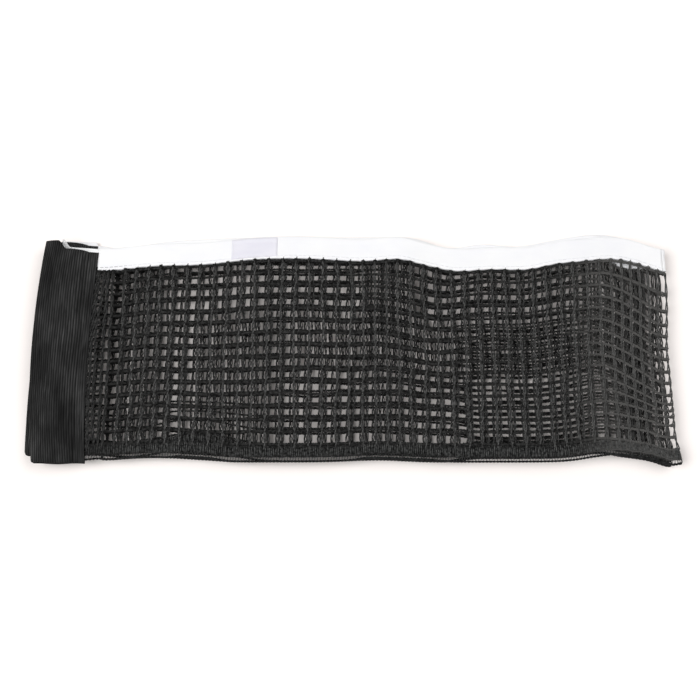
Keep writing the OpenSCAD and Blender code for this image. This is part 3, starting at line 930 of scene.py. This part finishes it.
def cord_fold(fold, kind, y, radius, finish):
    x, z = fold.path(0)
    places = np.linspace(0, 1, len(x))

    def point_at(s, dy, dz):
        return xyz(np.interp(s, places, x), y + dy, np.interp(s, places, z) + 0.3 * dz)

    parts = Parts()
    twisted(parts, point_at, np.pi * LAYER_PITCH / 2, radius, EDGE_CORD_LAY)
    piece = parts.piece(f"{kind}_fold_{fold.name}", [finish])
    return fold.blend(piece, kind, f"{kind}_fold_{fold.name}")


# ---------------------------------------------------------------- sleeves

SEAM_WIDTH = 6.0
FLANGE_HALF = 1.4
SLEEVE_HEIGHT = 7.8
SLEEVE_WALL = 0.8
SLIT_HALF = 0.6
FOOT_CORNER = 2.4
RINGS = 64
POINTS_A_RIB = 7


class Sleeve:
    """A flat ribbed tube. Its mouth is cut along a slanting line, with a raised outer corner."""

    def __init__(self, name, k, seam, width, taper, bow, foot, mouth, slope, corner):
        self.name, self.k, self.seam = name, k, seam
        self.width0, self.taper, self.bow = width, taper, bow
        self.foot, self.mouth, self.slope, self.corner = foot, mouth, slope, corner

    def width(self, t):
        return self.width0 - self.taper * t + self.bow * 4 * t * (1 - t)

    def mouth_y(self, share):
        """The mouth's line at a share of the width, from 0 at the seam to 1 at the outer side."""
        return self.mouth + self.slope * share + self.corner * smooth((share - 0.56) / 0.18)


FRONT = Sleeve("front_sleeve", 1, seam=0.0, width=33.6, taper=-1.8, bow=4.6,
               foot=-NET_HEIGHT / 2 - FRONT_SLEEVE_DROP, mouth=NET_HEIGHT / 2 - 11.8,
               slope=2.4, corner=5.6)
BACK = Sleeve("back_sleeve", 4, seam=BACK_SEAM_X, width=37.4, taper=7.4, bow=3.6,
              foot=-NET_HEIGHT / 2 + 3.6, mouth=NET_HEIGHT / 2 - 4.2, slope=1.9, corner=0.0)


def sleeve_section(width, inset):
    """Places across a section, from the seam over the outer side and back, with their heights."""
    lobe = width - SEAM_WIDTH
    even = np.linspace(0, 1, int(lobe / RIB_PITCH * POINTS_A_RIB))
    share = 0.35 * (1 - np.cos(np.pi * even)) / 2 + 0.65 * even
    start = 1.5 * inset
    around = start + (lobe - 2 * start) * share
    flange = np.linspace(width, lobe, 14)[:-1]
    flange_half = SLIT_HALF if inset else FLANGE_HALF
    least = np.where(share > 0.5, flange_half, 0)
    top = np.maximum((SLEEVE_HEIGHT - FLANGE_HALF - inset) * np.sin(np.pi * share) ** 0.45, least)
    low = np.maximum((FLANGE_HALF - inset) * np.sin(np.pi * share) ** 0.2, least)
    across = np.concatenate([flange, around[::-1], around[1:], flange[::-1]])
    height = np.concatenate([0 * flange + flange_half, top[::-1], -low[1:], 0 * flange - flange_half])
    return across, height


def resampled(values, count):
    return np.interp(np.linspace(0, 1, count), np.linspace(0, 1, len(values)), values)


def sleeve(s):
    """One ribbed sleeve: an outer and an inner skin that meet at the mouth, the foot and the seam."""
    t = np.linspace(0, 1, RINGS)[:, None]
    width = s.width(t)
    count = len(sleeve_section(s.width0, 0)[0])
    shapes = []
    for inset in (0, SLEEVE_WALL):
        sections = [sleeve_section(w, inset) for w in width[:, 0]]
        across = np.array([resampled(places, count) for places, _ in sections])
        height = np.array([resampled(heights, count) for _, heights in sections])
        share = 1 - across / width
        foot = s.foot + FOOT_CORNER * smooth((share - 0.93) / 0.07) ** 2 + 0.25 * np.sin(9 * share)
        y = foot + t * (s.mouth_y(share) - foot)
        x = s.seam - width + across + (1 - share) * seam_bow(t)
        crown = smooth((height - 0.9) / 3)
        dents = (0.6 * np.sin(y / 9.0 + x / 6.0) * np.sin(y / 23.0 + 1.3)
                 + 0.45 * np.sin(x / 4.2 - y / 31.0) - 0.5) * crown
        if not inset:
            flow = share * s.width0 + RIB_WANDER * np.sin(y / RIB_WANDER_LENGTH + 3 * share)
            rib = np.abs(np.sin(np.pi * flow / RIB_PITCH))
            rise = RIB_HEIGHT * (rib - 0.9) + 0.22 * np.exp(-((t - 0.02) / 0.012) ** 2) * crown
            height = np.where(height > 0, height + rise, height - 0.25 * np.abs(rise))
        shapes.append(np.stack([x, y, panel_z(s.k) + height + dents], -1))
    parts = Parts()
    shell(parts, *shapes, flip=True)
    piece = parts.piece(s.name, [SLEEVE_BLACK], BODY[s.k], s.name, "sleeve")
    # Each point's place on its rib, for the sleeve material's painted highlight on the crown and painted
    # shade in the grooves
    crown_highlight = np.zeros(len(piece.data.vertices), np.float32)
    crown_highlight[:rib.size] = rib.ravel()
    piece.data.attributes.new("rib", "FLOAT", "POINT").data.foreach_set("value", crown_highlight)
    return piece


TAPE_RIM = 3.0
TAPE_END_LENGTH = 24.5
TAPE_END_HALF = 0.56
TAPE_END_LAP = 0.09


def tape_end(s):
    """The tape's flattened end inside a sleeve, which shows as a white rim over its mouth."""
    share = np.linspace(-TAPE_END_LAP, TAPE_END_LENGTH / s.width0, 40)[:, None]
    rise = np.where(share < 0, 0, TAPE_RIM * smooth(share / 0.02))
    top = s.mouth_y(np.clip(share, 0, 1)) + rise
    top = np.where(share < 0, tape_rows(s.seam - share * s.width0, s.k) - 0.4, top)
    depth = np.array([0, 0.2, 0.6, 1.4, 4, 8, 12])
    depth, height = both_sides(depth, TAPE_END_HALF * np.array([0.1, 0.7, 1, 1, 1, 0.9, 0.6]))
    x = s.seam - share * s.width0
    parts = Parts()
    band(parts, xyz(x, top - depth, panel_z(s.k) + height + 0.08 * np.sin(x / 2.1)))
    return parts.piece(f"tape_end_{s.k}", [TAPE_WHITE], BODY[s.k], slot="tape")


# ---------------------------------------------------------------- the bare label

LABEL_START, LABEL_WIDTH, LABEL_HEIGHT = 87.6, 30.2, 13.4
LABEL_MARGIN = 0.9
LABEL_TURN = 2.4
LABEL_STITCH_PITCH = 1.9
LABEL_STITCH_LENGTH = 1.3
LABEL_STITCH_RADIUS = 0.13


def label_point(x, depth, up):
    """A point of the label, which rides on the tape's cloth but follows its ripple only in the middle."""
    y = tape_rows(x, 1) - LABEL_MARGIN - depth
    z = panel_z(1) + lift(x, y) + tape_thickness(LABEL_MARGIN + depth) + pucker(x, 5, 1) + up
    return xyz(x, y, z)


def label():
    """A thin satin patch, turned under at its ends and sewn on the tape."""
    across = np.linspace(0, LABEL_WIDTH, 60)[:, None]
    depth = np.linspace(0, LABEL_HEIGHT, 27)[None]
    edge = np.minimum(np.minimum(across, LABEL_WIDTH - across), np.minimum(depth, LABEL_HEIGHT - depth))
    round_edge = 0.3 * np.sqrt(1 - (1 - np.clip(edge / 0.35, 0, 1)) ** 2)
    turned = 0.16 * (window(across, -1, LABEL_TURN, 0.5)
                     + window(across, LABEL_WIDTH - LABEL_TURN, LABEL_WIDTH + 1, 0.5))
    x = LABEL_START + across
    parts = Parts()
    shell(parts, label_point(x, depth, 0.02 + round_edge + turned * (edge > 0)),
          label_point(x, depth, -0.12))
    return parts.piece("label", [LABEL_SATIN], BODY[1], "label", "label")


def label_stitches():
    parts = Parts()
    share = np.linspace(0, 1, 5)
    rise = 0.42 + 0.14 * np.sin(np.pi * share)
    for at in (1.1, LABEL_WIDTH - 1.1):
        depth = np.arange(0.8, LABEL_HEIGHT - 1.6, LABEL_STITCH_PITCH)[:, None]
        points = label_point(LABEL_START + at, depth + LABEL_STITCH_LENGTH * share, rise)
        tubes(parts, points, (1, 0, 0), LABEL_STITCH_RADIUS, 4)
    for depth in (0.9, LABEL_HEIGHT - 0.9):
        x = LABEL_START + np.arange(1.6, LABEL_WIDTH - 2.4, LABEL_STITCH_PITCH)[:, None]
        points = label_point(x + LABEL_STITCH_LENGTH * share, depth, rise - 0.1)
        tubes(parts, points, (0, 1, 0), LABEL_STITCH_RADIUS, 4)
    return parts.piece("label_stitches", [STITCH_WHITE], BODY[1], slot="label")


# ---------------------------------------------------------------- camera, light and floor

CAMERA_ELEVATION = 75.0
CAMERA_DISTANCE = 0.636
CAMERA_FOCAL_PIXELS = 975.0
IMAGE_PIXELS = 700.0
CAMERA_AIM = (-0.0015, -0.0006, 0.0)
FLOOR_REACH = 30.0
FLOOR_DEPTH = 0.0004


def camera():
    lens = bpy.data.cameras.new("camera")
    lens.sensor_width = 36.0
    lens.lens = CAMERA_FOCAL_PIXELS * lens.sensor_width / IMAGE_PIXELS
    eye = bpy.data.objects.new("camera", lens)
    bpy.context.scene.collection.objects.link(eye)
    tilt = math.radians(CAMERA_ELEVATION)
    back = Vector((0, -math.cos(tilt), math.sin(tilt)))
    eye.location = Vector(CAMERA_AIM) + back * CAMERA_DISTANCE
    eye.rotation_euler = (-back).to_track_quat("-Z", "Y").to_euler()
    bpy.context.scene.camera = eye


def area_light(name, place_at, size, power):
    lamp = bpy.data.lights.new(name, "AREA")
    lamp.shape = "DISK"
    lamp.size = size
    lamp.energy = power
    light = bpy.data.objects.new(name, lamp)
    light.location = place_at
    light.rotation_euler = (-Vector(place_at)).to_track_quat("-Z", "Y").to_euler()
    bpy.context.scene.collection.objects.link(light)


def world(strength):
    made = bpy.data.worlds.new("studio")
    made.use_nodes = True
    tree = made.node_tree
    background = tree.nodes["Background"]
    background.inputs["Color"].default_value = (1, 1, 1, 1)
    seen = node(tree, "ShaderNodeLightPath")
    amount = node(tree, "ShaderNodeMix", {"Factor": seen.outputs["Is Camera Ray"]}, data_type="FLOAT")
    amount.inputs["A"].default_value = strength
    amount.inputs["B"].default_value = 1.0
    tree.links.new(amount.outputs["Result"], background.inputs["Strength"])
    bpy.context.scene.world = made


def floor():
    """A white floor that keeps a soft shadow. Away from the lamps it is seen as bright as beneath them."""
    ends = (-FLOOR_REACH, FLOOR_REACH)
    mesh = bpy.data.meshes.new("floor")
    mesh.from_pydata([(x, y, -FLOOR_DEPTH) for y in ends for x in ends], [], [(0, 1, 3, 2)])
    ground = bpy.data.objects.new("floor", mesh)
    bpy.context.scene.collection.objects.link(ground)
    made = bpy.data.materials.new("floor")
    made.use_nodes = True
    tree = made.node_tree
    shader = tree.nodes["Principled BSDF"]
    shader.inputs["Base Color"].default_value = (0.92, 0.872, 0.848, 1)
    shader.inputs["Roughness"].default_value = 1.0
    shader.inputs["Specular IOR Level"].default_value = 0.0
    seen = node(tree, "ShaderNodeLightPath").outputs["Is Camera Ray"]
    where = node(tree, "ShaderNodeTexCoord").outputs["Object"]
    away = node(tree, "ShaderNodeVectorMath", {0: where}, operation="LENGTH").outputs["Value"]
    # Distances in metres from the net's middle, and the strength of the floor's own light there
    reach = {"Value": away, "From Min": 0.9, "From Max": 2.6, "To Min": 0.02, "To Max": 0.8}
    glow = node(tree, "ShaderNodeMapRange", reach, interpolation_type="SMOOTHSTEP").outputs["Result"]
    amount = node(tree, "ShaderNodeMath", {0: seen, 1: glow}, operation="MULTIPLY")
    shader.inputs["Emission Color"].default_value = (1.0, 0.93, 0.9, 1)
    tree.links.new(amount.outputs[0], shader.inputs["Emission Strength"])
    mesh.materials.append(made)


# ---------------------------------------------------------------- the whole net

camera()
world(strength=0.36)
area_light("key", (-1.9, -0.5, 2.5), size=2.3, power=82.0)
area_light("fill", (2.0, 0.4, 2.5), size=2.5, power=45.0)
floor()

knits = {k: knit_panel(k) for k in PANELS}
tapes = {k: tape_panel(k) for k in PANELS}
hems = {k: hem_panel(k) for k in PANELS}
on_knit = {k: [knit_columns(k)] for k in PANELS}
on_tape = {k: [tape_stitches(k)] for k in PANELS}
on_hem = {k: [] for k in PANELS}
for panel in PANELS:
    cord(panel, "edge_cord", edge_cord_line, EDGE_CORD_RADIUS, EDGE_CORD_LAY, 6, CORD_BLACK)
    cord(panel, "tension_cord", tension_cord_line, TENSION_CORD_RADIUS, TENSION_CORD_LAY, 4, CORD_WHITE)
for bend in FOLDS:
    on_knit[bend.upper].append(fold_rows(bend))
    on_tape[bend.upper].append(tape_fold(bend))
    on_hem[bend.upper].append(hem_fold(bend))
    cord_fold(bend, "edge_cord", hem_line(bend.x, bend.upper) + EDGE_CORD_RADIUS, EDGE_CORD_RADIUS,
              CORD_BLACK)
    cord_fold(bend, "tension_cord", tension_cord_line(bend.x, bend.upper), TENSION_CORD_RADIUS,
              CORD_WHITE)
sleeves = {s.k: sleeve(s) for s in (FRONT, BACK)}
on_tape[FRONT.k].append(tape_end(FRONT))
on_tape[BACK.k].append(tape_end(BACK))
patch = label()

label_stitches()

bpy.context.scene.view_settings.view_transform = "Standard"
